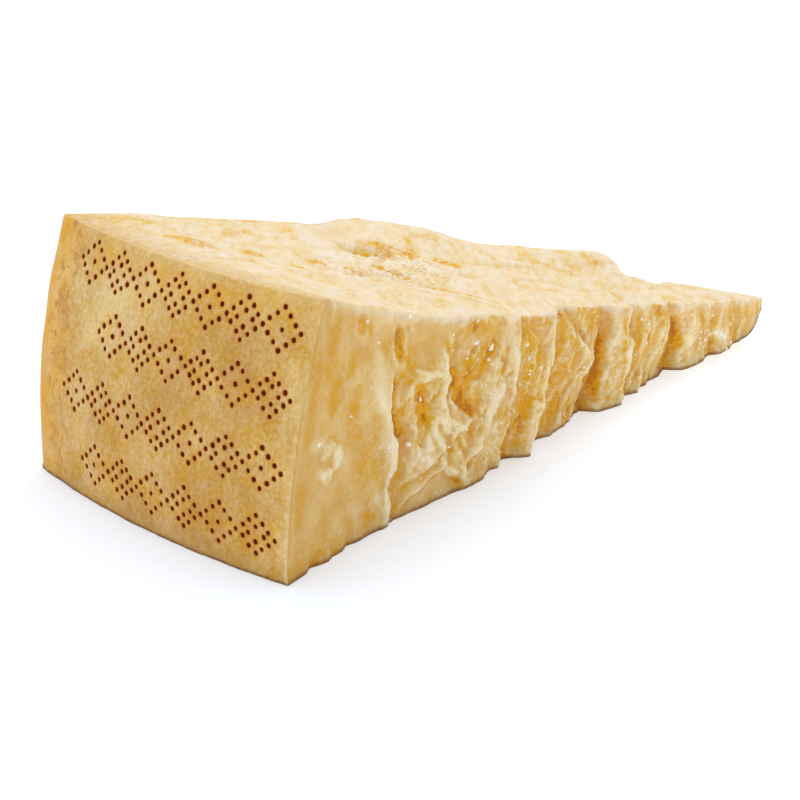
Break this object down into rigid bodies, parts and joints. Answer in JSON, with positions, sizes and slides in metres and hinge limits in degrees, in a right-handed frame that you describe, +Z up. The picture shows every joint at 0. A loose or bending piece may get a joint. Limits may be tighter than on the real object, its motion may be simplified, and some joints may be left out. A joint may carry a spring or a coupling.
{
  "type": "parmesan chunk",
  "caption": "Wedge split from a drum-shaped hard cheese: curved pinholed rind, craggy broken sides and top tapering to a rounded point, flat underside.",
  "frame": {"origin": "middle of the bounding box at its foot, on the flat underside", "axes": "+X from the rind to the point, along the chunk's length; +Z up, away from the flat underside; +Y to the left of someone looking from the rind towards the point"},
  "size_m": [0.2014, 0.0846, 0.0577],
  "materials": {
    "cheese": "pale straw paste, waxy and granular, with white crystals; the rind is a drier, browner tan"
  },
  "bodies": {
    "root": {"cheese_wedge": "cheese"}
  },
  "joints": []
}
